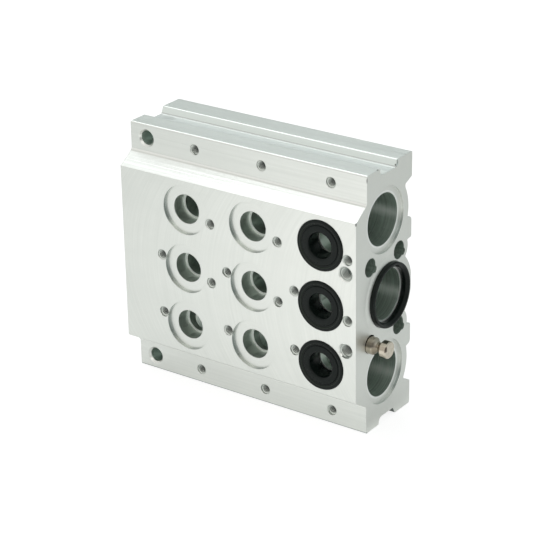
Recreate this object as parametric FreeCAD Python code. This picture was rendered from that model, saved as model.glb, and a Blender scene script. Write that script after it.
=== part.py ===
import FreeCAD, Part
import math
import os

# One block of a stackable pneumatic valve manifold, in millimetres.
# The block is sawn from an aluminium extrusion that runs along X, then milled and drilled.
# The valve side faces -Y, the back faces +Y, and the block stands on the edges of its lower flange.
# The joint end faces +X. The next block meets it there, on a ring seal and on joining pins.
# The plain end faces -X. Its tapped ports take the fittings that feed and vent the block.
# The origin is the middle of the whole part's footprint, with Z = 0 on the surface it stands on.

# Extruded section
block_length = 104.5
block_height = 101.0
block_depth = 37.0
flange_setback = 7.0
flange_height = 11.0
slant_height = 4.5
slant_root_radius = 0.8
lip_width = 8.5
groove_width = 11.3
groove_depth = 2.7
groove_front_draft = 0.5
groove_back_draft = 1.3
groove_front_radius = 1.8
groove_back_radius = 0.8
edge_radius = 0.6
back_recess = 4.4
foot_height = 9.5
foot_rise = 1.8
foot_root_radius = 0.7
rib_offset = 21.4
rib_height = 8.0
rib_draft = 0.7
rib_outer_radius = 1.8
rib_inner_radius = 0.5
rib_root_overlap = 1.0

# Galleries, the three air channels that run right through along X
gallery_radius = 9.85
gallery_pitch = 30.0
gallery_advance = 2.6
gallery_back_wall = 2.8
gallery_boss_wall = 3.2
seal_seat_width = 2.65
seal_seat_depth = 1.1
supply_thread_height = 0.63
supply_depth = 14.0
supply_chamfer = 0.6

# Joining pins and the holes that take them in the joint end
pin_hole_radius = 3.5
pin_end_gap = 2.6
pin_front_inset = 9.5
pin_back_inset = 8.4
pin_boss_wall = 2.5
pin_clearance = 0.25
pin_rest_gap = 0.05
pin_reach = 8.4
pin_groove_place = 4.0
pin_groove_depth = 1.65
pin_groove_floor = 0.3
pin_chamfer = 0.35
key_radius = 1.35
key_offset = 3.4
key_angle = -29.5
key_depth = 9.0

# Lock screw holes, tapped into the valve face and drilled on into the front pin holes
lock_screw_radius = 2.5
lock_screw_drill_radius = 2.1
lock_screw_run_out = 0.5
lock_screw_place = 4.4
lock_screw_chamfer = 0.5

# Valve stations and their ports
station_count = 3
station_pitch = 30.0
station_margin = 15.0
port_pitch = 23.5
port_radius = 5.75
port_depth = 7.0
port_ledge = 0.85
port_seat_width = 4.0
port_seat_depth = 1.2

# Tapped holes
tapped_radius = 2.0
tapped_depth = 8.0
tapped_chamfer = 0.15
valve_screw_across = 11.4
valve_screw_up = 3.0
flange_screw_depth = 10.0
flange_hole_inset = 5.5

# Mounting holes, right through the flanges at the plain end
mounting_radius = 2.75
mounting_place = 7.2
mounting_chamfer = 0.8

# Rubber seals
seal_clearance = 0.1
gallery_seal_inner_gap = 0.6
gallery_seal_proud = 1.8
gallery_seal_bevel = 0.95
gallery_seal_round = 0.45
port_seal_proud = 0.6
port_seal_bead_width = 1.6
port_seal_bead_round = 0.7
port_seal_groove = 0.45
port_seal_groove_width = 0.5
port_seal_face_drop = 0.1
port_seal_mouth_round = 0.35
port_seal_wall = 0.8
port_seal_lip = 0.4
port_seal_end_gap = 1.3

drill_point_angle = 118.0

# Derived places
left_end = -(block_length + pin_reach) / 2
joint_end = left_end + block_length
valve_face = (port_seal_proud - block_depth) / 2
back_face = valve_face + block_depth
flange_face = valve_face + flange_setback
middle_height = block_height / 2
along = FreeCAD.Vector(1, 0, 0)
inwards = FreeCAD.Vector(0, 1, 0)

gallery_seat_radius = gallery_radius + seal_seat_width
supply_radius = gallery_radius + supply_thread_height
gallery_middle_y = back_face - gallery_back_wall - gallery_seat_radius
gallery_outer_y = gallery_middle_y - gallery_advance
galleries = [
    (gallery_outer_y, middle_height + gallery_pitch),
    (gallery_middle_y, middle_height),
    (gallery_outer_y, middle_height - gallery_pitch),
]
pin_hole_depth = pin_reach + pin_end_gap
pin_rows = [middle_height + gallery_pitch / 2, middle_height - gallery_pitch / 2]
lock_screw_depth = pin_front_inset - pin_hole_radius - lock_screw_run_out
pin_columns = [valve_face + pin_front_inset, back_face - pin_back_inset]
pin_holes = [(y, z) for z in pin_rows for y in pin_columns]
stations = [
    joint_end - station_margin - index * station_pitch
    for index in range(station_count)
]
port_rows = [middle_height + port_pitch, middle_height, middle_height - port_pitch]
port_seat_radius = port_radius + port_seat_width
flange_rows = [flange_hole_inset, block_height - flange_hole_inset]


def rounded_outline(corners, place):
    """Closed face through corners given as (u, v, radius), each corner rounded by its own radius."""
    points = [FreeCAD.Vector(u, v, 0) for u, v, radius in corners]
    turns = []
    for index, (u, v, radius) in enumerate(corners):
        here = points[index]
        back = (points[index - 1] - here).normalize()
        ahead = (points[(index + 1) % len(points)] - here).normalize()
        if radius == 0:
            turns.append((here, None, here))
            continue
        half_angle = back.getAngle(ahead) / 2
        reach = radius / math.tan(half_angle)
        towards_centre = (back + ahead).normalize()
        centre = here + towards_centre * (radius / math.sin(half_angle))
        turns.append((here + back * reach, centre - towards_centre * radius, here + ahead * reach))
    edges = []
    for index, (enter, middle, leave) in enumerate(turns):
        previous_leave = turns[index - 1][2]
        if previous_leave.distanceToPoint(enter) > 1e-6:
            edges.append(Part.LineSegment(place(previous_leave), place(enter)).toShape())
        if middle is not None:
            edges.append(Part.Arc(place(enter), place(middle), place(leave)).toShape())
    return Part.Face(Part.Wire(edges))


def in_section(point):
    """Section point (distance behind the valve face, height) at the plain end."""
    return FreeCAD.Vector(left_end, valve_face + point.x, point.y)


def turned_piece(corners, axis_point, axis):
    """Solid of revolution of corners given as (distance along the axis, radius, corner radius)."""
    outward = FreeCAD.Vector(0, 0, 1)

    def place(point):
        return axis_point + axis * point.x + outward * point.y

    return rounded_outline(corners, place).revolve(axis_point, axis, 360)


def drilled_hole(radius, depth, mouth, axis):
    """Blind hole to the given depth, with the cone that the drill's point leaves."""
    point_length = radius / math.tan(math.radians(drill_point_angle / 2))
    bore = Part.makeCylinder(radius, depth, mouth, axis)
    point = Part.makeCone(radius, 0, point_length, mouth + axis * depth, axis)
    return bore.fuse(point)


def chamfer_cut(radius, chamfer, mouth, axis):
    """Cone that bevels the rim of a hole by the given width."""
    return Part.makeCone(radius + chamfer, radius, chamfer, mouth, axis)


def flange_and_back_corners():
    """Corners of the section's lower half, from the valve face round to the back recess."""
    lip_edge = flange_setback + lip_width
    groove_edge = lip_edge + groove_width
    recess = block_depth - back_recess
    return [
        (0, flange_height + slant_height, 0),
        (flange_setback, flange_height, slant_root_radius),
        (flange_setback, 0, edge_radius),
        (lip_edge, 0, edge_radius / 2),
        (lip_edge + groove_front_draft, groove_depth, groove_front_radius),
        (groove_edge - groove_back_draft, groove_depth, groove_back_radius),
        (groove_edge, 0, edge_radius),
        (block_depth, 0, edge_radius),
        (block_depth, foot_height, edge_radius),
        (recess, foot_height + foot_rise, foot_root_radius),
    ]


def rib_corners(side):
    """Corners of one long rib on the back, above (side 1) or below (side -1) the middle."""
    root = block_depth - back_recess - rib_root_overlap
    centre = middle_height + side * rib_offset
    half = side * rib_height / 2
    half_root = half + side * rib_draft
    return [
        (root, centre + half_root, 0),
        (block_depth, centre + half, rib_outer_radius),
        (block_depth, centre - half, rib_inner_radius),
        (root, centre - half_root, 0),
    ]


def extruded_bar():
    """The bar as it leaves the extrusion die, before any machining."""
    lower = flange_and_back_corners()
    upper = [(u, block_height - v, radius) for u, v, radius in reversed(lower)]
    sweep = along * block_length
    bar = rounded_outline(lower + upper, in_section).extrude(sweep)
    swellings = [rounded_outline(rib_corners(side), in_section).extrude(sweep) for side in (1, -1)]
    for y, z in galleries:
        radius = gallery_seat_radius + gallery_boss_wall
        swellings.append(Part.makeCylinder(radius, block_length, FreeCAD.Vector(left_end, y, z), along))
    for z in pin_rows:
        start = FreeCAD.Vector(left_end, back_face - pin_back_inset, z)
        swellings.append(Part.makeCylinder(pin_hole_radius + pin_boss_wall, block_length, start, along))
    envelope = Part.makeBox(
        block_length, block_depth, block_height, FreeCAD.Vector(left_end, valve_face, 0)
    )
    return bar.fuse([swelling.common(envelope) for swelling in swellings]).removeSplitter()


def gallery_cuts():
    """Three through channels, each with a seal seat at the joint end and a tapped port at the plain end."""
    cuts = []
    for y, z in galleries:
        plain_mouth = FreeCAD.Vector(left_end, y, z)
        joint_mouth = FreeCAD.Vector(joint_end, y, z)
        cuts.append(Part.makeCylinder(gallery_radius, block_length, plain_mouth, along))
        cuts.append(Part.makeCylinder(gallery_seat_radius, seal_seat_depth, joint_mouth, -along))
        cuts.append(Part.makeCylinder(supply_radius, supply_depth, plain_mouth, along))
        cuts.append(chamfer_cut(supply_radius, supply_chamfer, plain_mouth, along))
    return cuts


def pin_hole_cuts():
    """Pin holes in the joint end, each with a half-round key slot beside it."""
    cuts = []
    key_y = key_offset * math.cos(math.radians(key_angle))
    key_z = key_offset * math.sin(math.radians(key_angle))
    for y, z in pin_holes:
        cuts.append(drilled_hole(pin_hole_radius, pin_hole_depth, FreeCAD.Vector(joint_end, y, z), -along))
        key_mouth = FreeCAD.Vector(joint_end, y + key_y, z + key_z)
        cuts.append(Part.makeCylinder(key_radius, key_depth, key_mouth, -along))
    return cuts


def lock_screw_cuts():
    """Tapped holes that stop just short of the front pin holes, each drilled on to the pin's axis."""
    cuts = []
    for z in pin_rows:
        mouth = FreeCAD.Vector(joint_end - lock_screw_place, valve_face, z)
        cuts.append(Part.makeCylinder(lock_screw_radius, lock_screw_depth, mouth, inwards))
        cuts.append(Part.makeCylinder(lock_screw_drill_radius, pin_front_inset, mouth, inwards))
        cuts.append(chamfer_cut(lock_screw_radius, lock_screw_chamfer, mouth, inwards))
    return cuts


def port_cuts():
    """Stepped ports of every station: seal seat, port, then a narrower passage to the gallery."""
    cuts = []
    for x in stations:
        for z, (gallery_y, gallery_z) in zip(port_rows, galleries):
            mouth = FreeCAD.Vector(x, valve_face, z)
            cuts.append(Part.makeCylinder(port_seat_radius, port_seat_depth, mouth, inwards))
            cuts.append(Part.makeCylinder(port_radius, port_depth, mouth, inwards))
            passage = gallery_y - valve_face
            cuts.append(drilled_hole(port_radius - port_ledge, passage, mouth, inwards))
    return cuts


def tapped_hole(depth, mouth):
    """Blind hole for a small screw, with its rim just broken."""
    hole = drilled_hole(tapped_radius, depth, mouth, inwards)
    return hole.fuse(chamfer_cut(tapped_radius, tapped_chamfer, mouth, inwards))


def screw_cuts():
    """Tapped holes that hold each valve to the valve face, and one more in each flange."""
    cuts = []
    upper_row, middle_row, lower_row = port_rows
    for x in stations:
        for z in (upper_row, middle_row):
            place = FreeCAD.Vector(x + valve_screw_across, valve_face, z - valve_screw_up)
            cuts.append(tapped_hole(tapped_depth, place))
        for z in (middle_row, lower_row):
            place = FreeCAD.Vector(x - valve_screw_across, valve_face, z + valve_screw_up)
            cuts.append(tapped_hole(tapped_depth, place))
        for z in flange_rows:
            cuts.append(tapped_hole(flange_screw_depth, FreeCAD.Vector(x, flange_face, z)))
    return cuts


def mounting_cuts():
    """Plain holes right through both flanges near the plain end, each with a bevelled rim."""
    cuts = []
    for z in flange_rows:
        mouth = FreeCAD.Vector(left_end + mounting_place, flange_face, z)
        cuts.append(Part.makeCylinder(mounting_radius, block_depth - flange_setback, mouth, inwards))
        cuts.append(chamfer_cut(mounting_radius, mounting_chamfer, mouth, inwards))
    return cuts


def manifold_body():
    """The machined block, in one piece."""
    cuts = gallery_cuts() + pin_hole_cuts() + lock_screw_cuts()
    cuts += port_cuts() + screw_cuts() + mounting_cuts()
    return extruded_bar().cut(cuts)


def gallery_seal():
    """Ring of rubber in the middle gallery's seat at the joint end, bevelled on its inner side."""
    inner = gallery_radius + gallery_seal_inner_gap
    outer = gallery_seat_radius - seal_clearance
    height = seal_seat_depth + gallery_seal_proud
    corners = [
        (0, inner, 0),
        (height - gallery_seal_bevel, inner, gallery_seal_round),
        (height, inner + gallery_seal_bevel, gallery_seal_round),
        (height, outer, gallery_seal_round),
        (0, outer, 0),
    ]
    y, z = galleries[1]
    return turned_piece(corners, FreeCAD.Vector(joint_end - seal_seat_depth, y, z), along)


def port_seal(z):
    """Rubber port seal: a beaded flange in the port's seat, and a sleeve that lines the port."""
    rim = port_seat_radius - seal_clearance
    bead_foot = rim - port_seal_bead_width
    sleeve_outer = port_radius - seal_clearance
    sleeve_inner = sleeve_outer - port_seal_wall
    face = port_seal_proud - port_seal_face_drop
    groove_floor = face - port_seal_groove
    groove_inner = bead_foot - port_seal_groove_width
    inner_end = port_seal_end_gap - port_depth
    corners = [
        (-port_seat_depth, sleeve_outer, 0),
        (-port_seat_depth, rim, 0),
        (port_seal_proud, rim, port_seal_bead_round),
        (port_seal_proud, bead_foot, port_seal_bead_round),
        (groove_floor, bead_foot, 0),
        (groove_floor, groove_inner, 0),
        (face, groove_inner, 0),
        (face, sleeve_inner, port_seal_mouth_round),
        (inner_end, sleeve_inner - port_seal_lip, 0),
        (inner_end, sleeve_outer, 0),
    ]
    return turned_piece(corners, FreeCAD.Vector(stations[0], valve_face, z), -inwards)


def joining_pin():
    """Turned pin, grooved near both ends, with its middle on the joint plane.

    It is loose until a lock screw grips it, so it lies low in its hole.
    """
    radius = pin_hole_radius - pin_clearance
    floor_radius = radius - pin_groove_depth
    half_floor = pin_groove_floor / 2
    half_mouth = half_floor + pin_groove_depth
    outer_half = [
        (pin_groove_place - half_mouth, radius, 0),
        (pin_groove_place - half_floor, floor_radius, 0),
        (pin_groove_place + half_floor, floor_radius, 0),
        (pin_groove_place + half_mouth, radius, 0),
        (pin_reach - pin_chamfer, radius, 0),
        (pin_reach, radius - pin_chamfer, 0),
        (pin_reach, 0, 0),
    ]
    inner_half = [(-station, height, turn) for station, height, turn in reversed(outer_half)]
    sag = pin_clearance - pin_rest_gap
    middle = FreeCAD.Vector(joint_end, pin_columns[0], pin_rows[1] - sag)
    return turned_piece(inner_half + outer_half, middle, along)


nodes = {
    "manifold_body": manifold_body(),
    "gallery_seal": gallery_seal(),
    "port_seal_upper": port_seal(port_rows[0]),
    "port_seal_middle": port_seal(port_rows[1]),
    "port_seal_lower": port_seal(port_rows[2]),
    "joining_pin": joining_pin(),
}

os.makedirs("parts", exist_ok=True)
for name, shape in nodes.items():
    shape.exportStep(os.path.join("parts", name + ".step"))
    box = shape.BoundBox
    corners = [box.XMin, box.YMin, box.ZMin, box.XMax, box.YMax, box.ZMax]
    print(name, "valid:", shape.isValid(), "solids:", len(shape.Solids), "faces:", len(shape.Faces))
    print("    volume", round(shape.Volume, 1), "box", [round(value, 2) for value in corners])
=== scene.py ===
import math

import bmesh
import bpy
import numpy as np
from mathutils import Matrix, Vector


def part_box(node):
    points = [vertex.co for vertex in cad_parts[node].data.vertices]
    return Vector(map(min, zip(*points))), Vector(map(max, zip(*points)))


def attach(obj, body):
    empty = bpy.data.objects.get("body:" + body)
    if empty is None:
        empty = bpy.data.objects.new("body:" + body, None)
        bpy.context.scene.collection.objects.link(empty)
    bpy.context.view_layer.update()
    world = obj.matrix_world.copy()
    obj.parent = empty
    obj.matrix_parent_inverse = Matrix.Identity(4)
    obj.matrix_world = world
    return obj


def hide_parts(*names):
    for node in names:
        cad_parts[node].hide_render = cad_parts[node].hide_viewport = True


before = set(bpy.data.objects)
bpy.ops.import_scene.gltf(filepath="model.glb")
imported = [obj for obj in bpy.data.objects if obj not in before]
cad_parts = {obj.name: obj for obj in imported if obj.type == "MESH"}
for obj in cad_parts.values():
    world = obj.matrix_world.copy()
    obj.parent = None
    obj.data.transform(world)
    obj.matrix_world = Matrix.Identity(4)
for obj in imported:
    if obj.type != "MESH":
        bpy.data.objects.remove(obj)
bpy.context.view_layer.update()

# The block. One sawn length of aluminium extrusion, left bare, with the die's drawing lines along it.
# The valve face and the joint end are milled, and the galleries, ports and pin holes are bored into it.
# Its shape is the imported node's own, so this section only gives it a finish. Sizes are in millimetres.
mm = 0.001
fine_slack, slack, wide_slack = 0.02, 0.05, 0.1
low_corner, high_corner = ([round(part / mm, 3) for part in corner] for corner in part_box("manifold_body"))
left_end, valve_face, _ = low_corner
joint_end, _, block_height = high_corner
middle_height = block_height / 2
bare_aluminium, dull_aluminium = (0.815, 0.825, 0.795), (0.74, 0.755, 0.725)


class Shading:
    """Adds and joins shader nodes of one tree in short lines."""

    def __init__(self, tree):
        self.tree = tree

    def add(self, kind, **settings):
        """New node of a kind, with its own settings."""
        node = self.tree.nodes.new(kind)
        for name, value in settings.items():
            setattr(node, name, value)
        return node

    def feed(self, socket, value):
        """Joins a socket to another one, or gives it a plain value."""
        if isinstance(value, bpy.types.NodeSocket):
            self.tree.links.new(value, socket)
        elif isinstance(value, tuple) and len(value) == 3 and socket.type == "RGBA":
            socket.default_value = (*value, 1.0)
        else:
            socket.default_value = value

    def fill(self, node, values):
        """Feeds a node's inputs in order."""
        for socket, value in zip(node.inputs, values):
            self.feed(socket, value)
        return node

    def maths(self, operation, *values):
        """One step of arithmetic."""
        return self.fill(self.add("ShaderNodeMath", operation=operation), values).outputs[0]

    def vector(self, operation, *values):
        """One step of arithmetic that gives a vector."""
        node = self.add("ShaderNodeVectorMath", operation=operation)
        return self.fill(node, values).outputs["Vector"]

    def measure(self, operation, *values):
        """One step of arithmetic that makes a number from vectors, such as a length."""
        node = self.add("ShaderNodeVectorMath", operation=operation)
        return self.fill(node, values).outputs["Value"]

    def all_of(self, *masks):
        """The masks multiplied together, so 1 where every mask is 1."""
        total = masks[0]
        for mask in masks[1:]:
            total = self.maths("MULTIPLY", total, mask)
        return total

    def either(self, *masks):
        """The greatest of the masks, so 1 where any mask is 1."""
        total = masks[0]
        for mask in masks[1:]:
            total = self.maths("MAXIMUM", total, mask)
        return total

    def above(self, value, limit):
        """1 where value is over the limit, and 0 elsewhere."""
        return self.maths("GREATER_THAN", value, limit)

    def below(self, value, limit):
        """1 where value is under the limit, and 0 elsewhere."""
        return self.maths("LESS_THAN", value, limit)

    def between(self, value, low, high):
        """1 where value lies from low to high, and 0 elsewhere."""
        return self.all_of(self.above(value, low), self.below(value, high))

    def near(self, value, place, reach):
        """1 where value lies within reach of a place, and 0 elsewhere."""
        return self.between(value, place - reach, place + reach)

    def away(self, value, place):
        """How far value is from a place, on either side of it."""
        return self.maths("ABSOLUTE", self.maths("SUBTRACT", value, place))

    def ramp(self, value, low, high, at_low=0.0, at_high=1.0):
        """Goes straight from at_low to at_high while value goes from low to high, and no further."""
        node = self.add("ShaderNodeMapRange", clamp=True)
        return self.fill(node, (value, low, high, at_low, at_high)).outputs[0]

    def blend(self, share, first, second):
        """Number that is first where share is 0 and second where it is 1."""
        node = self.add("ShaderNodeMix", data_type="FLOAT")
        for index, value in ((0, share), (2, first), (3, second)):
            self.feed(node.inputs[index], value)
        return node.outputs[0]

    def tint(self, share, first, second):
        """Colour that is first where share is 0 and second where it is 1."""
        node = self.add("ShaderNodeMix", data_type="RGBA")
        for index, value in ((0, share), (6, first), (7, second)):
            self.feed(node.inputs[index], value)
        return node.outputs[2]

    def join(self, x, y, z):
        """Vector from three numbers."""
        return self.fill(self.add("ShaderNodeCombineXYZ"), (x, y, z)).outputs[0]

    def split(self, vector):
        """The three numbers of a vector."""
        return self.fill(self.add("ShaderNodeSeparateXYZ"), (vector,)).outputs

    def size(self, *values):
        """Square root of the sum of the squares."""
        total = self.maths("MULTIPLY", values[0], values[0])
        for value in values[1:]:
            total = self.maths("MULTIPLY_ADD", value, value, total)
        return self.maths("SQRT", total)

    def from_nearest(self, value, first, pitch, count):
        """Signed distance from the nearest of count places that start at first, a pitch apart."""
        beyond = self.maths("SUBTRACT", value, first)
        step = self.maths("ROUND", self.maths("DIVIDE", beyond, pitch))
        step = self.maths("MINIMUM", self.maths("MAXIMUM", step, 0.0), count - 1.0)
        return self.maths("SUBTRACT", beyond, self.maths("MULTIPLY", step, pitch))

    def surface(self):
        """The place of a point on the piece, in millimetres, and the way that the surface faces there."""
        coordinates = self.add("ShaderNodeTexCoord").outputs
        return self.vector("MULTIPLY", coordinates["Object"], (1 / mm,) * 3), coordinates["Normal"]

    def effect(self, group, **values):
        """Places a node group and feeds its inputs by name. Puts out its outputs by name."""
        node = self.add("ShaderNodeGroup", node_tree=group)
        for name, value in values.items():
            self.feed(node.inputs[name], value)
        return node.outputs

    def relief(self, shader, height, depth, under=None):
        """Feeds the shader a normal for a height of so many millimetres, on top of another normal."""
        bump = self.add("ShaderNodeBump")
        bump.inputs["Distance"].default_value = depth * mm
        self.feed(bump.inputs["Height"], height)
        if under is not None:
            self.feed(bump.inputs["Normal"], under)
        self.feed(shader.inputs["Normal"], bump.outputs[0])


def new_effect(name, inputs, outputs):
    """Node group with named inputs and outputs, the helper that adds nodes to it, and its two ends."""
    group = bpy.data.node_groups.new(name, "ShaderNodeTree")
    for side, sockets in (("INPUT", inputs), ("OUTPUT", outputs)):
        for title, kind in sockets:
            group.interface.new_socket(title, in_out=side, socket_type=f"NodeSocket{kind}")
    helper = Shading(group)
    return group, helper, helper.add("NodeGroupInput").outputs, helper.add("NodeGroupOutput").inputs


def new_finish(name, metallic, colour, roughness):
    """Material with one Principled shader that starts with plain values, and the helper for its nodes."""
    finish = bpy.data.materials.new(name)
    finish.use_nodes = True
    shader = finish.node_tree.nodes["Principled BSDF"]
    shader.inputs["Metallic"].default_value = metallic
    shader.inputs["Base Color"].default_value = (*colour, 1.0)
    shader.inputs["Roughness"].default_value = roughness
    return finish, Shading(finish.node_tree), shader


# Tool marks, as cloudy grains that are drawn out along one way. Used on every metal and on the rubber.
tool_marks, shade, given, result = new_effect(
    "tool_marks", [("Place", "Vector"), ("Fineness", "Vector")], [("Mark", "Float")])
grain = shade.add("ShaderNodeTexNoise")
shade.feed(grain.inputs["Vector"], shade.vector("MULTIPLY", given["Place"], given["Fineness"]))
for name, value in (("Scale", 1.0), ("Detail", 4.0), ("Roughness", 0.62)):
    grain.inputs[name].default_value = value
shade.feed(result["Mark"], shade.ramp(grain.outputs[0], 0.25, 0.75))


def marks(shade, place, *fineness):
    """Tool marks at a place. Along each way, a mark is about 1 mm over the fineness long."""
    return shade.effect(tool_marks, Place=place, Fineness=fineness)["Mark"]


# Broken edges, which a cut or turned metal piece has all round. The normal turns over within the
# radius of an edge, and the mask is 1 on the edge.
broken_edges, shade, given, result = new_effect(
    "broken_edges", [("Radius", "Float")], [("Edge", "Float"), ("Normal", "Vector")])
rounding = shade.add("ShaderNodeBevel", samples=6)
shade.feed(rounding.inputs["Radius"], given["Radius"])
true_normal = shade.add("ShaderNodeNewGeometry").outputs["Normal"]
turn = shade.measure("DOT_PRODUCT", rounding.outputs[0], true_normal)
shade.feed(result["Edge"], shade.ramp(turn, 0.98, 0.80))
shade.feed(result["Normal"], rounding.outputs[0])

aluminium, shade, shader = new_finish("machined_aluminium_finish", 1.0, bare_aluminium, 0.36)
place, normal = shade.surface()
x, y, z = shade.split(place)
across_x, across_y, across_z = (shade.maths("ABSOLUTE", part) for part in shade.split(normal))
square_on, half_turned = (0.90, 0.97), 0.5
faces_front, faces_end = (shade.ramp(across, *square_on) for across in (across_y, across_x))
runs_back, runs_along = (shade.below(across, half_turned) for across in (across_y, across_x))
up = shade.maths("SUBTRACT", z, middle_height)
from_middle = shade.maths("ABSOLUTE", up)

# The galleries. The outer two lie further forward than the middle one, and the supply ports at their
# plain ends are wider. The seal seat's wall is shaded low down at the back, and the inner edge of its
# floor is bright with a painted highlight.
gallery_radius, gallery_pitch, gallery_middle_y, gallery_advance = 9.85, 30.0, 3.5, 2.6
supply_radius, supply_depth, supply_chamfer = 10.48, 14.0, 0.6
gallery_seat_radius, gallery_seat_depth, seat_lip_width = 12.5, 1.1, 0.7
seat_wall_reach, shaded_back, shaded_low = 0.15, (5.0, 8.0), (0.0, -5.0)
nearest_row = shade.maths("ROUND", shade.maths("DIVIDE", up, gallery_pitch))
row = shade.maths("MINIMUM", shade.maths("MAXIMUM", nearest_row, -1.0), 1.0)
outer_row = shade.maths("ABSOLUTE", row)
gallery_z = shade.maths("SUBTRACT", up, shade.maths("MULTIPLY", row, gallery_pitch))
from_middle_y = shade.maths("SUBTRACT", y, gallery_middle_y)
gallery_y = shade.maths("MULTIPLY_ADD", outer_row, gallery_advance, from_middle_y)
from_gallery = shade.size(gallery_y, gallery_z)
supply_share = shade.between(x, left_end + wide_slack, left_end + supply_depth + wide_slack)
wall_reach = shade.blend(supply_share, gallery_radius, supply_radius + supply_chamfer)
in_gallery = shade.below(from_gallery, wall_reach)
shaded_gallery_seat = shade.all_of(
    runs_along,
    shade.near(from_gallery, gallery_seat_radius, seat_wall_reach),
    shade.between(x, joint_end - gallery_seat_depth - fine_slack, joint_end),
    shade.ramp(gallery_y, *shaded_back),
    shade.ramp(gallery_z, *shaded_low))
seat_lip_highlight = shade.all_of(
    faces_end,
    shade.between(from_gallery, gallery_radius, gallery_radius + seat_lip_width),
    shade.below(x, joint_end - wide_slack))

# The ports, each with a seat for its seal. The seat's wall is shaded at the left and at the foot, and
# the port's mouth has a wide broken edge.
far_station, station_pitch, low_port, port_pitch = -26.95, 30.0, 27.0, 23.5
port_radius, port_end, port_seat_radius, port_seat_depth = 5.75, 0.0, 9.75, 1.2
seat_left, left_fade = (-6.0, -8.5), (6.0, -1.0, 0.4, 1.0)
seat_foot, foot_fade = (-7.0, -9.0), (-1.0, 1.5, 0.0, 0.7)
seat_edge_reach, mouth_reach = 0.4, 0.7
port_seat_floor = valve_face + port_seat_depth
port_x = shade.from_nearest(x, far_station, station_pitch, 3)
port_up = shade.from_nearest(z, low_port, port_pitch, 3)
from_port = shade.size(port_x, port_up)
on_valve_face = shade.all_of(faces_front, shade.below(y, valve_face + slack))
in_port = shade.all_of(
    shade.below(from_port, port_radius + slack),
    shade.between(y, port_seat_floor + slack, port_end))
on_port_seat = shade.all_of(
    faces_front,
    shade.below(from_port, port_seat_radius),
    shade.between(y, valve_face + slack, port_seat_floor + wide_slack))
shaded_left = shade.all_of(shade.ramp(port_x, *seat_left), shade.ramp(port_up, *left_fade))
shaded_foot = shade.all_of(shade.ramp(port_up, *seat_foot), shade.ramp(port_x, *foot_fade))
shaded_port_seat = shade.all_of(
    shade.near(from_port, port_seat_radius, wide_slack),
    shade.between(y, valve_face + slack, port_seat_floor),
    shade.either(shaded_left, shaded_foot))
on_port_mouth = shade.all_of(
    shade.near(from_port, port_radius, mouth_reach),
    shade.between(y, port_seat_floor - wide_slack, port_seat_floor + mouth_reach))
near_seat_wall = shade.all_of(
    shade.near(from_port, port_seat_radius, seat_edge_reach),
    shade.below(y, port_seat_floor + wide_slack))

# The pin holes, with the key slot beside each, the screw holes and the mounting holes. The depth of a
# screw hole starts at the flange's face near the top and the foot, and at the valve face elsewhere.
pin_rows, pin_columns = (65.5, 35.5), (-8.7, 10.4)
pin_hole_radius, pin_hole_depth, key_slot_reach = 3.5, 16.0, 1.5
flange_face, flange_height, flange_rows = -11.2, 9.0, (5.5, 95.5)
hole_mouth, drilled_end, drilled_foot, drilled_top = 0.3, 1.0, 3.0, 3.4
mounting_x, mounting_radius, mounting_cover, groove_floor_height = -49.25, 2.75, 0.03, 98.3
pin_y = shade.from_nearest(y, pin_columns[0], pin_columns[1] - pin_columns[0], 2)
pin_up = shade.maths("SUBTRACT", from_middle, pin_rows[0] - middle_height)
in_pin_hole = shade.all_of(
    runs_along,
    shade.below(shade.size(pin_y, pin_up), pin_hole_radius + key_slot_reach),
    shade.between(x, joint_end - pin_hole_depth, joint_end - wide_slack))
on_flange = shade.above(from_middle, middle_height - flange_height)
hole_depth = shade.maths("SUBTRACT", y, shade.blend(on_flange, valve_face, flange_face))
drilled = shade.all_of(
    runs_back,
    shade.between(y, valve_face + hole_mouth, drilled_end),
    shade.between(x, left_end + wide_slack, joint_end - gallery_seat_depth - 2 * wide_slack),
    shade.between(z, drilled_foot, block_height - drilled_top))
mounting_across = shade.maths("SUBTRACT", x, mounting_x)
mounting_up = shade.maths("SUBTRACT", from_middle, flange_rows[1] - middle_height)
in_mounting_hole = shade.all_of(
    runs_back,
    shade.below(shade.size(mounting_across, mounting_up), mounting_radius + wide_slack),
    shade.below(z, groove_floor_height - mounting_cover))

# The drawn faces: the slants above and below the valve face, the front edge that the block stands on,
# with a painted shadow line along it, and the grooves in the top and the underside, with painted shade
# on the back wall, on the part of the floor beside it and in the corner, and a dark painted shadow on
# the lower groove's back wall.
slanting, foot_line_height, foot_line_depth = (0.6, 0.95), 0.5, 0.8
groove_wall_foot, groove_wall_width = 7.3, 2.0
floor_start, floor_full, floor_fade, floor_stop = 5.5, 4.0, 1.0, 0.2
corner_before, corner_behind, corner_rise = 1.0, 1.2, 0.5
wall_before, low_wall_before, wall_rise = 0.2, 0.7, 0.3
on_slants = shade.all_of(shade.between(across_z, *slanting), shade.below(y, flange_face))
foot_shadow_line = shade.all_of(
    shade.below(z, foot_line_height), shade.below(y, flange_face + foot_line_depth))
groove_floor_shade = shade.all_of(
    shade.ramp(y, groove_wall_foot - floor_start, groove_wall_foot - floor_full),
    shade.ramp(y, groove_wall_foot - floor_stop, groove_wall_foot - floor_fade),
    shade.between(z, groove_floor_height - wide_slack, groove_floor_height + slack))
groove_corner_shade = shade.all_of(
    shade.between(y, groove_wall_foot - corner_before, groove_wall_foot + corner_behind),
    shade.between(z, groove_floor_height + fine_slack, groove_floor_height + corner_rise))
groove_wall = shade.all_of(
    shade.between(y, groove_wall_foot - wall_before, groove_wall_foot + groove_wall_width),
    shade.between(z, groove_floor_height + wall_rise, block_height - wide_slack))
low_groove_wall = shade.all_of(
    shade.between(y, groove_wall_foot - low_wall_before, groove_wall_foot + groove_wall_width),
    shade.between(z, slack, block_height - groove_floor_height - slack),
    shade.between(x, left_end + wide_slack, joint_end - slack))

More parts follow.
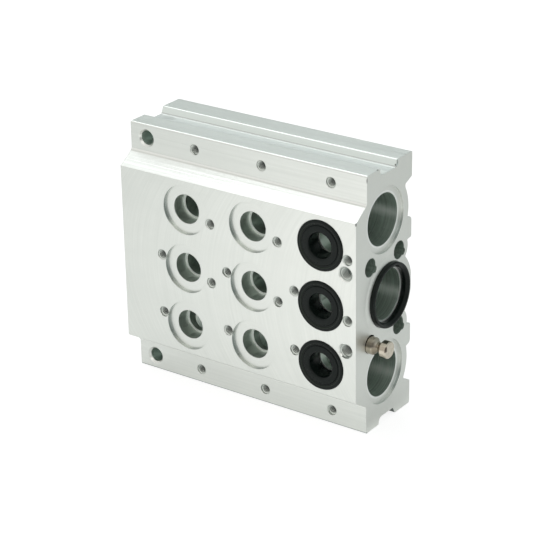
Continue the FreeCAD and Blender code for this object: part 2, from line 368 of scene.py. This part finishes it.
# The marks that each tool leaves. The die draws long lines, a mill leaves arcs of its own radius, and
# a drill leaves rings.
face_mill_radius, end_mill_radius, end_mill_squeeze = 58.0, 34.0, 0.8
drawn = marks(shade, place, 0.008, 1.1, 1.1)
scuffed = marks(shade, place, 0.05, 0.10, 0.10)
arc_square = shade.maths("SUBTRACT", face_mill_radius ** 2, shade.maths("MULTIPLY", up, up))
mill_arc = shade.maths("SQRT", shade.maths("MAXIMUM", arc_square, 0.0))
milled = marks(shade, shade.join(shade.maths("ADD", x, mill_arc), up, 0.0), 1.1, 0.02, 1.0)
end_arc = shade.size(shade.maths("ADD", y, end_mill_radius), shade.maths("MULTIPLY", up, end_mill_squeeze))
end_milled = marks(shade, shade.join(end_arc, up, 0.0), 1.4, 0.02, 1.0)
rings = marks(shade, place, 2.2, 0.03, 0.03)
port_rings = marks(shade, shade.join(y, from_port, 0.0), 2.0, 2.0, 1.0)
round_bore = shade.either(in_gallery, in_pin_hole)
lines = shade.blend(on_valve_face, drawn, milled)
lines = shade.blend(on_port_seat, lines, port_rings)
lines = shade.blend(faces_end, lines, end_milled)
lines = shade.blend(round_bore, lines, rings)
lines = shade.blend(in_port, lines, port_rings)

# Colours, from the drawn faces to the bores, the painted shade deep in the screw holes and on the shaded
# walls, the edges, worn bright and with a painted highlight, and the bruises, darkened as painted shade. In
# each gallery, a painted highlight band runs along the back wall below the axis, and it lies highest in the
# top row.
bored_aluminium, ported_aluminium = (0.74, 0.84, 0.77), (0.57, 0.63, 0.58)
drilled_aluminium, mounting_aluminium = (0.74, 0.78, 0.74), (0.86, 0.94, 0.89)
shadowed_aluminium, deep_shadow_aluminium = (0.30, 0.34, 0.33), (0.12, 0.14, 0.13)
corner_shade_aluminium, cool_shade_aluminium = (0.575, 0.595, 0.58), (0.745, 0.80, 0.775)
burnished_and_highlight_aluminium, bruise_shade_aluminium = (0.93, 0.94, 0.92), (0.16, 0.17, 0.16)
scuff_range, shadow_depths, ring_shade = (0.2, 0.9, 0.0, 0.6), (0.8, 3.2), 0.55
glint_row_rise, glint_drop, glint_fade, glint_back = 1.75, 2.8, (2.6, 0.3), (4.0, 8.0)
colour = shade.tint(shade.ramp(scuffed, *scuff_range), bare_aluminium, dull_aluminium)
colour = shade.tint(lines, colour, shade.tint(faces_end, dull_aluminium, bare_aluminium))
colour = shade.tint(on_slants, colour, shade.tint(lines, burnished_and_highlight_aluminium, bare_aluminium))
# Painted shade in the grooves: cooler and darker on the back wall, darker on the floor beside it and in the
# corner, and nearly black on the lower groove's back wall.
colour = shade.tint(groove_wall, colour, cool_shade_aluminium)
colour = shade.tint(shade.either(groove_floor_shade, groove_corner_shade), colour, corner_shade_aluminium)
colour = shade.tint(low_groove_wall, colour, deep_shadow_aluminium)
# A painted highlight: the light band along the back wall of each gallery.
glint_place = shade.maths("MULTIPLY_ADD", row, -glint_row_rise, gallery_z)
from_glint = shade.maths("ABSOLUTE", shade.maths("ADD", glint_place, glint_drop))
glint_band = shade.all_of(shade.ramp(from_glint, *glint_fade), shade.ramp(gallery_y, *glint_back))
bored_tone = shade.tint(rings, bored_aluminium, tuple(ring_shade * part for part in bored_aluminium))
bored_tone = shade.tint(glint_band, bored_tone, shade.tint(rings, burnished_and_highlight_aluminium, bored_aluminium))
# Painted shade: the walls of the screw holes grow darker with depth.
drilled_tone_and_shade = shade.tint(shade.ramp(hole_depth, *shadow_depths), drilled_aluminium, shadowed_aluminium)
colour = shade.tint(drilled, colour, drilled_tone_and_shade)
colour = shade.tint(round_bore, colour, bored_tone)
colour = shade.tint(in_port, colour, shade.tint(faces_front, ported_aluminium, burnished_and_highlight_aluminium))
colour = shade.tint(shade.either(shaded_port_seat, shaded_gallery_seat), colour, shadowed_aluminium)
colour = shade.tint(in_mounting_hole, colour, mounting_aluminium)
# A painted highlight on the inner edge of the gallery seat's floor.
colour = shade.tint(seat_lip_highlight, colour, burnished_and_highlight_aluminium)
block_edge, seat_edge, mouth_edge = 0.25, 0.08, 0.5
edge_radius = shade.blend(near_seat_wall, block_edge * mm, seat_edge * mm)
edge_radius = shade.blend(on_port_mouth, edge_radius, mouth_edge * mm)
edges = shade.effect(broken_edges, Radius=edge_radius)
# The edges are worn bright, and their brighter colour is also a painted highlight.
colour = shade.tint(edges["Edge"], colour, burnished_and_highlight_aluminium)
# A painted contact shadow along the front edge that the block stands on.
colour = shade.tint(foot_shadow_line, colour, shadowed_aluminium)

# Each bruise is a nick or burr, painted dark to stand in for its shade: a place, and how far it reaches
# along each way. A small one is darker.
bruise_shade_strength = 0.8
bruise_shades = (
    ((48.0, -11.0, 99.3), (0.4, 0.4, 1.3)),
    ((47.8, -4.0, 101.0), (0.4, 0.7, 0.4)),
    ((48.0, 7.6, 99.2), (0.6, 0.5, 0.5)),
    ((48.0, 8.7, 100.0), (0.6, 0.5, 1.3)),
    ((48.0, -18.1, 85.3), (0.4, 0.6, 0.9)),
    ((-51.8, -11.2, 94.9), (0.9, 1.0, 1.1)),
    ((-51.6, -11.2, 4.6), (0.6, 0.8, 0.8)),
    ((-51.0, 5.0, 98.3), (3.5, 2.2, 0.5)),
)
for spot, reach in bruise_shades:
    offset = shade.vector("DIVIDE", shade.vector("SUBTRACT", place, spot), reach)
    depth = min(1.0, bruise_shade_strength / max(reach))
    share = shade.ramp(shade.measure("LENGTH", offset), 1.0, 0.5, 0.0, depth)
    colour = shade.tint(share, colour, bruise_shade_aluminium)
shade.feed(shader.inputs["Base Color"], colour)

plain_roughness, dull_roughness, line_roughness, edge_roughness = 0.28, 0.42, 0.10, 0.30
dull = shade.either(round_bore, in_port, drilled, faces_end, groove_floor_shade, groove_corner_shade)
roughness = shade.blend(dull, plain_roughness, dull_roughness)
roughness = shade.maths("MULTIPLY_ADD", lines, line_roughness, roughness)
shade.feed(shader.inputs["Roughness"], shade.blend(edges["Edge"], roughness, edge_roughness))

# Relief. The upper slant is a little hollow and the lower one a little turned, the metal round the
# middle gallery's seat stands up a little, and the tool marks lie on top.
slant_root, slant_edge, slant_sag, low_slant_turn = 90.0, 85.5, 0.15, -1.1
rolled_height, rolled_reach = 0.6, (12.4, 15.4)
drawn_depth, milled_depth = 0.035, 0.011
slant_rise = shade.ramp(z, slant_edge, slant_root)
hollow = shade.all_of(on_slants, shade.maths("MULTIPLY", slant_rise, slant_rise), slant_sag)
in_middle_row = shade.below(outer_row, 0.5)
rolled = shade.all_of(
    faces_end,
    in_middle_row,
    shade.ramp(from_gallery, *rolled_reach, rolled_height, 0.0))
hollow = shade.maths("ADD", hollow, rolled)
low_slant = shade.all_of(on_slants, shade.below(z, middle_height))
hollow = shade.maths("MULTIPLY_ADD", low_slant, shade.maths("MULTIPLY", z, low_slant_turn), hollow)
line_depth = shade.blend(shade.either(on_valve_face, faces_end), drawn_depth, milled_depth)
shade.relief(shader, shade.maths("MULTIPLY_ADD", lines, line_depth, hollow), 1.0, edges["Normal"])
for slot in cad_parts["manifold_body"].material_slots:
    slot.material = aluminium

# The threads. Cut with taps into the drilled holes: small ones for the valves and the flange covers,
# larger ones for the lock screws, and pipe threads in the supply ports. Here each is the metal left
# standing between the tap's cuts, a ridge that winds down the wall of its hole.
tapped_shade, tapped_crest = (0.12, 0.145, 0.13), (0.96, 1.0, 0.95)
tapped, shade, shader = new_finish("tapped_thread_finish", 1.0, tapped_crest, 0.3)
place, normal = shade.surface()
chatter = marks(shade, place, 2.5, 2.5, 2.5)
facing_up = shade.split(normal)[2]
thread_light_share = shade.add("ShaderNodeAttribute", attribute_name="painted_light").outputs["Fac"]
# Painted shade on the threads: dark at the root, darker deeper down the hole, and darker where the wall
# faces down.
thread_lit_share = shade.all_of(
    thread_light_share,
    shade.ramp(chatter, 0.0, 1.0, 0.8, 1.0),
    shade.ramp(facing_up, -0.1, 0.5, 0.75, 1.0))
shade.feed(shader.inputs["Base Color"], shade.tint(thread_lit_share, tapped_shade, tapped_crest))
shade.feed(shader.inputs["Roughness"], shade.ramp(chatter, 0.0, 1.0, 0.30, 0.55))
shade.relief(shader, chatter, 0.01)


def skin(name, grids, finish, round_rows=False, round_columns=False, painted_lights=None):
    """Mesh over grids of points, each of rows by columns, joined square by square.

    A grid closes on itself along its rows or its columns where that is asked for, and otherwise its
    two end rows are capped. Points that fall together, as at a pole, become one. The painted lights hold
    a grid of numbers beside each grid of points, the share of painted light and shade, for a finish that
    follows them.
    """
    points, faces, start = [], [], 0
    for grid in grids:
        rows, columns = grid.shape[:2]
        row = np.arange(rows if round_rows else rows - 1)[:, None]
        column = np.arange(columns if round_columns else columns - 1)[None, :]
        next_row, next_column = (row + 1) % rows, (column + 1) % columns
        corners = (row * columns + column, row * columns + next_column,
                   next_row * columns + next_column, next_row * columns + column)
        faces += (np.stack(corners, axis=-1).reshape(-1, 4) + start).tolist()
        if round_columns and not round_rows:
            faces.append((np.arange(columns)[::-1] + start).tolist())
            faces.append((np.arange(columns) + start + (rows - 1) * columns).tolist())
        points.append(grid.reshape(-1, 3))
        start += rows * columns
    mesh = bpy.data.meshes.new(name)
    mesh.from_pydata(np.concatenate(points).tolist(), [], faces)
    if painted_lights is not None:
        shares = np.concatenate([painted_light.reshape(-1) for painted_light in painted_lights])
        mesh.attributes.new("painted_light", "FLOAT", "POINT").data.foreach_set("value", shares.astype(np.float32))
    shell = bmesh.new()
    shell.from_mesh(mesh)
    bmesh.ops.remove_doubles(shell, verts=shell.verts, dist=1e-7)
    bmesh.ops.recalc_face_normals(shell, faces=shell.faces)
    shell.to_mesh(mesh)
    shell.free()
    mesh.polygons.foreach_set("use_smooth", np.ones(len(mesh.polygons), dtype=bool))
    mesh.set_sharp_from_angle(angle=math.radians(40))
    mesh.materials.append(finish)
    piece = bpy.data.objects.new(name, mesh)
    bpy.context.scene.collection.objects.link(piece)
    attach(piece, "root")
    return piece


def arms_across(axis):
    """Two unit arms at right angles to an axis along X or Y."""
    return [np.array(arm) for arm in (((0, 0, 1), (1, 0, 0)) if axis[1] else ((0, 1, 0), (0, 0, 1)))]


ridge_half, crest_half = 0.46, 0.05
ridge_places = np.array([-ridge_half, -crest_half, crest_half, ridge_half, ridge_half, -ridge_half])
ridge_crest = np.array([0.0, 1.0, 1.0, 0.0, 0.0, 0.0])
ridge_sunk = np.array([0.02, 0.0, 0.0, 0.02, 0.2, 0.2])
thinnest_ridge, fade_angle = 0.02, 0.5 * np.pi


def thread_ridge(mouth, depths, into, first_turn, radius, height, pitch, painted_shade_depth, root_light, steps=44):
    """Ridge of a thread, wound from the first depth to the last down a hole of the given radius.

    Place = mouth + into * (depth + offset) + turned arm * reach. The depth grows by one pitch a turn.
    Across the ridge, the reach falls from the wall by the height and comes back, over most of a pitch.
    The height fades in and out over the first and last quarter turn. Also puts out a share of painted
    light for each point: 1 on the ridge's top at the mouth, less at the root, and less with depth, which
    paints the shade of the hole.
    """
    turns = (depths[1] - depths[0]) / pitch
    angle = np.linspace(0, 2 * np.pi * turns, int(turns * steps))
    fade = np.clip(np.minimum(angle, angle[-1] - angle) / fade_angle, thinnest_ridge, 1)
    reach = radius + ridge_sunk - fade[:, None] * ridge_crest * height
    depth = depths[0] + pitch * angle[:, None] / (2 * np.pi) + ridge_places * pitch
    first_arm, second_arm = arms_across(into)
    turned_by = (angle[:, None] + first_turn)[..., None]
    arm = np.cos(turned_by) * first_arm + np.sin(turned_by) * second_arm
    light_share = (root_light + (1 - root_light) * ridge_crest) * np.exp(-(depth / painted_shade_depth) ** 2)
    return (np.array(mouth) + depth[..., None] * np.array(into) + reach[..., None] * arm) * mm, light_share


inwards, along = (0.0, 1.0, 0.0), (1.0, 0.0, 0.0)
stations = [far_station + station_pitch * index for index in range(3)]
port_rows = [low_port + port_pitch * index for index in range(3)]
valve_screw_across, valve_screw_up, lock_screw_inset = 11.4, 3.0, 4.4
screw_sides = ((1, port_rows[1:]), (-1, port_rows[:2]))
valve_holes = [(x + side * valve_screw_across, valve_face, z - side * valve_screw_up)
               for x in stations for side, rows in screw_sides for z in rows]
flange_holes = [(x, flange_face, z) for x in stations for z in flange_rows]
lock_holes = [(joint_end - lock_screw_inset, valve_face, z) for z in pin_rows]
supply_holes = [
    (left_end, gallery_middle_y - gallery_advance * abs(row), middle_height + gallery_pitch * row)
    for row in (-1, 0, 1)]
small_thread = dict(radius=2.0, height=0.42, pitch=0.7, painted_shade_depth=4.4, root_light=0.55)
lock_thread = dict(radius=2.5, height=0.50, pitch=0.8, painted_shade_depth=12.0, root_light=0.25)
pipe_thread = dict(radius=supply_radius, height=0.6, pitch=1.814, painted_shade_depth=12.0, root_light=0.35)
turn_between_holes = 2.4
for name, holes, into, depths, cut in (
    ("valve_screw_threads", valve_holes, inwards, (0.32, 7.6), small_thread),
    ("flange_screw_threads", flange_holes, inwards, (0.32, 9.6), small_thread),
    ("lock_screw_threads", lock_holes, inwards, (0.6, 5.1), lock_thread),
    ("supply_port_threads", supply_holes, along, (1.4, 11.2), pipe_thread),
):
    ridges = [thread_ridge(hole, depths, into, turn_between_holes * index, **cut)
              for index, hole in enumerate(holes)]
    grids, painted_lights = zip(*ridges)
    skin(name, grids, tapped, round_columns=True, painted_lights=painted_lights)

# The gallery seal. A moulded ring of black nitrile rubber, pushed into the seat round the middle
# gallery at the joint end. It stands proud of the face, so that the next block squeezes it.
rubber_black, rubber_bloom = (0.0035, 0.006, 0.0055), (0.0075, 0.0115, 0.010)
bead_highlight_grey, bead_highlight_radius, bead_highlight_fade = (0.030, 0.037, 0.031), 8.3, (0.3, 0.1)
rubber, shade, shader = new_finish("moulded_rubber_finish", 0.0, rubber_black, 0.4)
shader.inputs["Specular IOR Level"].default_value = 0.16
place, normal = shade.surface()
bloom = marks(shade, place, 0.9, 0.9, 0.9)
skin_grain = marks(shade, place, 5.0, 5.0, 5.0)
x, y, z = shade.split(place)
# A thin grey ring round each port seal's bead is a painted highlight.
fitted_x = shade.maths("SUBTRACT", x, stations[-1])
fitted_up = shade.from_nearest(z, low_port, port_pitch, 3)
from_bead = shade.away(shade.size(fitted_x, fitted_up), bead_highlight_radius)
bead_highlight = shade.all_of(shade.ramp(from_bead, *bead_highlight_fade), shade.below(y, valve_face))
colour = shade.tint(bloom, rubber_black, rubber_bloom)
shade.feed(shader.inputs["Base Color"], shade.tint(bead_highlight, colour, bead_highlight_grey))
shade.feed(shader.inputs["Roughness"], shade.ramp(bloom, 0.0, 1.0, 0.14, 0.28))
shade.relief(shader, skin_grain, 0.008)


def rounded(corners, steps=7):
    """Closed outline through (advance, radius, corner radius), as an array of (advance, radius).

    Each corner that has a radius is replaced by an arc that leaves both its sides without a kink.
    """
    outline = []
    for index, (advance, radius, bend) in enumerate(corners):
        here = np.array([advance, radius])
        before, after = (np.array(corners[(index + side) % len(corners)][:2]) - here for side in (-1, 1))
        before, after = before / np.linalg.norm(before), after / np.linalg.norm(after)
        if bend == 0:
            outline.append(here[None, :])
            continue
        half = math.acos(np.clip(before @ after, -1, 1)) / 2
        middle = (before + after) / np.linalg.norm(before + after)
        centre = here + middle * bend / math.sin(half)
        swing = np.linspace(-1, 1, steps)[:, None] * (math.pi / 2 - half)
        side = (after - before) / np.linalg.norm(after - before)
        outline.append(centre - bend * (np.cos(swing) * middle - np.sin(swing) * side))
    return np.concatenate(outline)


def turned(outline, centre, axis, around=160):
    """Grid of an outline of (advance, radius) carried once round an axis through centre.

    Place = centre + axis * advance + turned arm * radius.
    """
    first_arm, second_arm = arms_across(axis)
    angle = np.linspace(0, 2 * np.pi, around, endpoint=False)[:, None, None]
    arm = np.cos(angle) * first_arm + np.sin(angle) * second_arm
    advance, radius = outline[None, :, 0, None], outline[None, :, 1, None]
    return (np.array(centre) + advance * np.array(axis) + radius * arm) * mm


ring_inside, ring_crown, ring_outside = 10.45, 11.4, 12.4
ring_proud, ring_slope = 1.8, 0.95
ring_height = gallery_seat_depth + ring_proud
ring = rounded([
    (0, ring_inside, 0.2),
    (ring_height - ring_slope, ring_inside, 0.45),
    (ring_height, ring_crown, 0.4),
    (ring_height, ring_outside, 0.45),
    (0, ring_outside, 0.2),
])
ring_centre = (joint_end - gallery_seat_depth, gallery_middle_y, middle_height)
piece = skin("gallery_seal_ring", [turned(ring, ring_centre, along)],
             rubber, round_rows=True, round_columns=True)
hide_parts("gallery_seal")

# The port seals. Moulded from the same rubber, each a flange with a raised bead round its rim and a
# sleeve that lines the port. They are pushed into the ports of the station next to the joint end.
collar_radius, bead_inside, bead_foot, bead_height = 9.65, 8.35, 8.15, 0.6
dish_outside, dish_inside, dish_height = 7.6, 7.45, 0.36
sleeve_lip, sleeve_lip_height = 4.85, 0.5
sleeve_outside, sleeve_inside, sleeve_depth = 5.65, 4.45, 5.7
collar = rounded([
    (-port_seat_depth, sleeve_outside, 0.1),
    (-port_seat_depth, collar_radius, 0.2),
    (bead_height, collar_radius, 0.62),
    (bead_height, bead_inside, 0.55),
    (0.0, bead_foot, 0.15),
    (0.0, dish_outside, 0.2),
    (dish_height, dish_inside, 0.2),
    (sleeve_lip_height, sleeve_lip, 0.75),
    (-sleeve_depth, sleeve_inside, 0.15),
    (-sleeve_depth, sleeve_outside, 0.3),
])
outwards = (0.0, -1.0, 0.0)
for height, word in zip(port_rows, ("lower", "middle", "upper")):
    grid = turned(collar, (stations[-1], valve_face, height), outwards)
    piece = skin(f"{word}_port_seal_collar", [grid], rubber,
                 round_rows=True, round_columns=True)
    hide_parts(f"port_seal_{word}")

# The joining pin. Turned from steel rod and nickel plated, with a V groove near each end. It lies
# loose in the lower front pin hole, and half of it stands out ready for the next block.
nickel_colour, worn_highlight_nickel, oiled_and_shaded_nickel = (0.66, 0.60, 0.51), (0.93, 0.90, 0.84), (0.30, 0.26, 0.20)
rim_reflection_nickel, streak_reflection_nickel = (0.12, 0.10, 0.08), (0.17, 0.15, 0.12)
pin_radius, pin_reach, pin_chamfer, pin_drop, pin_edge = 3.25, 8.4, 0.35, 0.2, 0.15
pin_groove_place, pin_groove_depth, pin_groove_floor = 4.0, 1.65, 0.15
pin_centre = (joint_end, pin_columns[0], pin_rows[1] - pin_drop)
nickel, shade, shader = new_finish("plated_steel_finish", 1.0, nickel_colour, 0.24)
place, normal = shade.surface()
x, y, z = shade.split(place)
sideways, rise = (shade.maths("SUBTRACT", part, middle) for part, middle in zip((y, z), pin_centre[1:]))
turning = marks(shade, place, 5.0, 0.05, 0.05)
handling = marks(shade, place, 0.6, 0.6, 0.6)
edges = shade.effect(broken_edges, Radius=pin_edge * mm)

# The pin's groove is painted dark as its shade, apart from the upper part of the flank towards the block,
# which keeps its lit colour. Painted shade also darkens the collar beside the hole, a painted dark
# reflection lies along the top of the collar and the head, a painted dark streak runs along the collar,
# and a painted dark reflection sits on the rim of the end in front. Handling leaves random oily patches,
# and the edges are worn bright, with a painted highlight towards the head.
groove_middle, tip = joint_end + pin_groove_place, joint_end + pin_reach
groove_start = groove_middle - pin_groove_floor - pin_groove_depth
collar_end, collar_fade, streak_end, wear_end = (joint_end + advance for advance in (2.6, 3.0, 3.6, 5.0))
groove_fade, groove_end = (3.2, 2.8), 2.0
flank_end, flank_lit = 0.6, (0.5, 1.8)
top_reflection_start, top_reflection_stop = (-0.2, 1.2, 0.0, 0.6), (2.7, 1.9)
streak_rise, streak_fade = 1.5, (1.3, 0.6)
rim_reflection_width, rim_reflection_start, rim_reflection_full, rim_reflection_rise, rim_reflection_fade = 0.4, 1.6, 2.3, 1.2, (1.2, 0.7)
colour = shade.tint(shade.ramp(handling, 0.3, 1.0, 0.0, 0.3), nickel_colour, oiled_and_shaded_nickel)
# Painted shade in the groove.
groove_shade = shade.all_of(
    shade.ramp(shade.size(sideways, rise), *groove_fade),
    shade.below(x, groove_middle + groove_end))
colour = shade.tint(groove_shade, colour, oiled_and_shaded_nickel)
flank = shade.between(x, groove_start, groove_middle - flank_end)
colour = shade.tint(shade.all_of(flank, shade.ramp(rise, *flank_lit)), colour, nickel_colour)
flat_end = shade.above(x, tip - slack)
# A painted dark reflection along the top of the collar and the head.
top_dark_reflection = shade.all_of(
    shade.maths("SUBTRACT", 1.0, shade.either(flank, flat_end)),
    shade.ramp(rise, *top_reflection_start),
    shade.ramp(rise, *top_reflection_stop))
colour = shade.tint(top_dark_reflection, colour, oiled_and_shaded_nickel)
# Painted shade on the collar beside the hole.
colour = shade.tint(shade.ramp(x, collar_fade, collar_end, 0.0, 0.55), colour, oiled_and_shaded_nickel)
# Worn bright edges, with a painted highlight.
worn_edge_highlight = shade.all_of(edges["Edge"], shade.ramp(x, collar_end, wear_end, 0.4, 1.0))
colour = shade.tint(worn_edge_highlight, colour, worn_highlight_nickel)
# A painted dark reflection streak along the collar.
dark_reflection_streak = shade.all_of(
    shade.ramp(shade.away(rise, streak_rise), *streak_fade),
    shade.ramp(x, streak_end, collar_end))
colour = shade.tint(dark_reflection_streak, colour, streak_reflection_nickel)
# A painted dark reflection on the rim of the end, in front.
rim_dark_reflection = shade.all_of(
    shade.between(x, tip - rim_reflection_width, tip + wide_slack),
    shade.ramp(y, pin_centre[1] - rim_reflection_start, pin_centre[1] - rim_reflection_full),
    shade.ramp(shade.away(rise, rim_reflection_rise), *rim_reflection_fade))
shade.feed(shader.inputs["Base Color"], shade.tint(rim_dark_reflection, colour, rim_reflection_nickel))
shade.feed(shader.inputs["Roughness"], shade.ramp(turning, 0.0, 1.0, 0.12, 0.20))
shade.relief(shader, turning, 0.004, edges["Normal"])

free_half = [
    (pin_groove_place - pin_groove_floor - pin_groove_depth, pin_radius, 0.08),
    (pin_groove_place - pin_groove_floor, pin_radius - pin_groove_depth, 0.15),
    (pin_groove_place + pin_groove_floor, pin_radius - pin_groove_depth, 0.15),
    (pin_groove_place + pin_groove_floor + pin_groove_depth, pin_radius, 0.08),
    (pin_reach - pin_chamfer, pin_radius, 0.1),
    (pin_reach, pin_radius - pin_chamfer, 0.1),
    (pin_reach, 0.0, 0),
]
hidden_half = [(-advance, radius, bend) for advance, radius, bend in reversed(free_half)]
bar = rounded(hidden_half + free_half)
piece = skin("joining_pin_bar", [turned(bar, pin_centre, along)], nickel, round_rows=True)
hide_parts("joining_pin")

# The studio. A white floor that runs out of sight, with a painted pool of light in front of the block
# in what the metal mirrors, a large soft lamp overhead to the left, pale surroundings that are a little
# cooler and darker behind, and the camera.
# Sizes are in metres here.
floor_reach = 6.0
floor_corners = [(-1, -1), (1, -1), (1, 1), (-1, 1)]
floor_mesh = bpy.data.meshes.new("floor")
floor_mesh.from_pydata([(floor_reach * x, floor_reach * y, 0) for x, y in floor_corners], [], [(0, 1, 2, 3)])
floor = bpy.data.objects.new("floor", floor_mesh)
bpy.context.scene.collection.objects.link(floor)
white, cool_light, warm_light = (1.0, 1.0, 1.0), (0.955, 1.0, 0.975), (1.0, 0.98, 0.965)
paper_white, paper_seen, paper_mirrored = (0.92, 0.92, 0.91), (0.3, 0.3, 0.3), (0.35, 0.35, 0.35)
paper_glow = 0.80
pool_centre, pool_width, pool_light = (0.02, -0.26, 0.0), 0.20, 1.08
left_to_right, front_to_back = (-0.05, 0.04), (-0.05, 0.08)
front_light, back_light = (0.42, 0.54), 0.37
foot_middle, foot_reach, past_end = (-0.0042, 0.0038), (0.0522, 0.015), (0.049, 0.054)
contact_width, contact_stretch, front_contact, end_contact = 0.008, 0.5, 0.95, 0.50
end_shadow_width, end_shadow_light = 0.030, 0.72

# What the metal mirrors of the floor is a painted pool of light in front of the block, dimmer to the left
# and behind, with a painted shadow past the joint end and a painted contact shadow, darkest along the
# edges that the block stands on.
paper, shade, shader = new_finish("white_paper_finish", 0.0, paper_white, 0.9)
path = shade.add("ShaderNodeLightPath").outputs
straight = path["Is Camera Ray"]
mirrored = shade.either(path["Is Glossy Ray"], path["Is Transmission Ray"])
place = shade.add("ShaderNodeTexCoord").outputs["Object"]
floor_x, floor_y, _ = shade.split(place)
pool_share = shade.maths("DIVIDE", shade.measure("DISTANCE", place, pool_centre), pool_width)
pool_share = shade.maths("MULTIPLY", shade.maths("MULTIPLY", pool_share, pool_share), -1.0)
pool = shade.maths("EXPONENT", pool_share)
beside_x, beside_y = (
    shade.maths("MAXIMUM", shade.maths("SUBTRACT", shade.away(part, middle), reach), 0.0)
    for part, middle, reach in zip((floor_x, floor_y), foot_middle, foot_reach))
from_foot = shade.size(shade.maths("MULTIPLY", beside_x, contact_stretch), beside_y)
contact_shadow = shade.maths("EXPONENT", shade.maths("MULTIPLY", from_foot, -1 / contact_width))
end_shadow = shade.all_of(
    shade.maths("EXPONENT", shade.maths("MULTIPLY", beside_x, -1 / end_shadow_width)),
    shade.ramp(floor_x, *past_end))
in_front = shade.ramp(floor_x, *left_to_right, *front_light)
around_pool = shade.ramp(floor_y, *front_to_back, in_front, back_light)
reflected = shade.all_of(
    mirrored,
    shade.blend(pool, around_pool, pool_light),
    shade.blend(end_shadow, 1.0, end_shadow_light),
    shade.blend(contact_shadow, 1.0, shade.ramp(floor_x, *past_end, front_contact, end_contact)))
paper_colour = shade.tint(mirrored, paper_seen, paper_mirrored)
paper_colour = shade.tint(shade.either(straight, mirrored), paper_white, paper_colour)
shade.feed(shader.inputs["Base Color"], paper_colour)
glow_colour = shade.tint(straight, shade.tint(pool, cool_light, warm_light), white)
shade.feed(shader.inputs["Emission Color"], glow_colour)
shade.feed(shader.inputs["Emission Strength"], shade.blend(straight, reflected, paper_glow))
floor_mesh.materials.append(paper)

block_middle = Vector((0, 0, middle_height)) * mm
lamp_width, lamp_radiance, lamp_colour = 0.7, 1.73, (0.95, 0.975, 1.0)
lamp_direction, lamp_distance = Vector((-0.40, 0.32, 0.82)), 0.93
lamp = bpy.data.lights.new("overhead_lamp", "AREA")
lamp.size = lamp_width
lamp.energy = lamp_radiance * math.pi * lamp_width ** 2
lamp.color = lamp_colour
lamp_holder = bpy.data.objects.new("overhead_lamp", lamp)
bpy.context.scene.collection.objects.link(lamp_holder)
lamp_holder.location = block_middle + lamp_direction * lamp_distance
lamp_facing = block_middle - lamp_holder.location
lamp_holder.rotation_euler = lamp_facing.to_track_quat("-Z", "Y").to_euler()

# The surroundings are dimmer in front of the block to the right, with a brighter window above that.
front_tone, back_tone, front_level, back_level = (1.0, 0.995, 0.965), (0.90, 1.0, 0.97), 0.90, 0.48
front_way, back_way = -0.5, 0.7
dim_way, dim_reach, dim_level = (0.57, -0.79, 0.22), (0.7, 0.97), 0.6
window_way, window_reach, window_level = (0.46, -0.64, 0.615), (0.93, 0.985), 0.9
world = bpy.data.worlds.new("studio_surroundings")
world.use_nodes = True
bpy.context.scene.world = world
shade = Shading(world.node_tree)
direction = shade.add("ShaderNodeTexCoord").outputs["Generated"]
seen = shade.add("ShaderNodeLightPath").outputs["Is Camera Ray"]
behind = shade.ramp(shade.split(direction)[1], front_way, back_way)
level = shade.all_of(
    shade.ramp(behind, 0.0, 1.0, front_level, back_level),
    shade.ramp(shade.measure("DOT_PRODUCT", direction, dim_way), *dim_reach, 1.0, dim_level))
window = shade.ramp(shade.measure("DOT_PRODUCT", direction, window_way), *window_reach, 0.0, window_level)
level = shade.maths("ADD", level, window)
background = world.node_tree.nodes["Background"]
tone = shade.tint(seen, shade.tint(behind, front_tone, back_tone), white)
shade.feed(background.inputs["Color"], tone)
shade.feed(background.inputs["Strength"], shade.blend(seen, level, 1.0))

# The camera stands far off in front of the block to the right, and looks down on it a little.
camera_place = Vector((398.59, -559.98, 357.24)) * mm
camera_turn, camera_rise, camera_tilt = (math.radians(angle) for angle in (35.386, 23.793, -0.942))
camera_lens = bpy.data.cameras.new("camera")
camera_lens.lens = 136.675
camera_lens.shift_x, camera_lens.shift_y = -0.01698, -0.01417
camera_lens.clip_start = 0.01
camera = bpy.data.objects.new("camera", camera_lens)
bpy.context.scene.collection.objects.link(camera)
camera.matrix_world = (
    Matrix.Translation(camera_place)
    @ Matrix.Rotation(camera_turn, 4, "Z")
    @ Matrix.Rotation(math.pi / 2 - camera_rise, 4, "X")
    @ Matrix.Rotation(camera_tilt, 4, "Z")
)
bpy.context.scene.camera = camera
bpy.context.scene.view_settings.view_transform = "Standard"
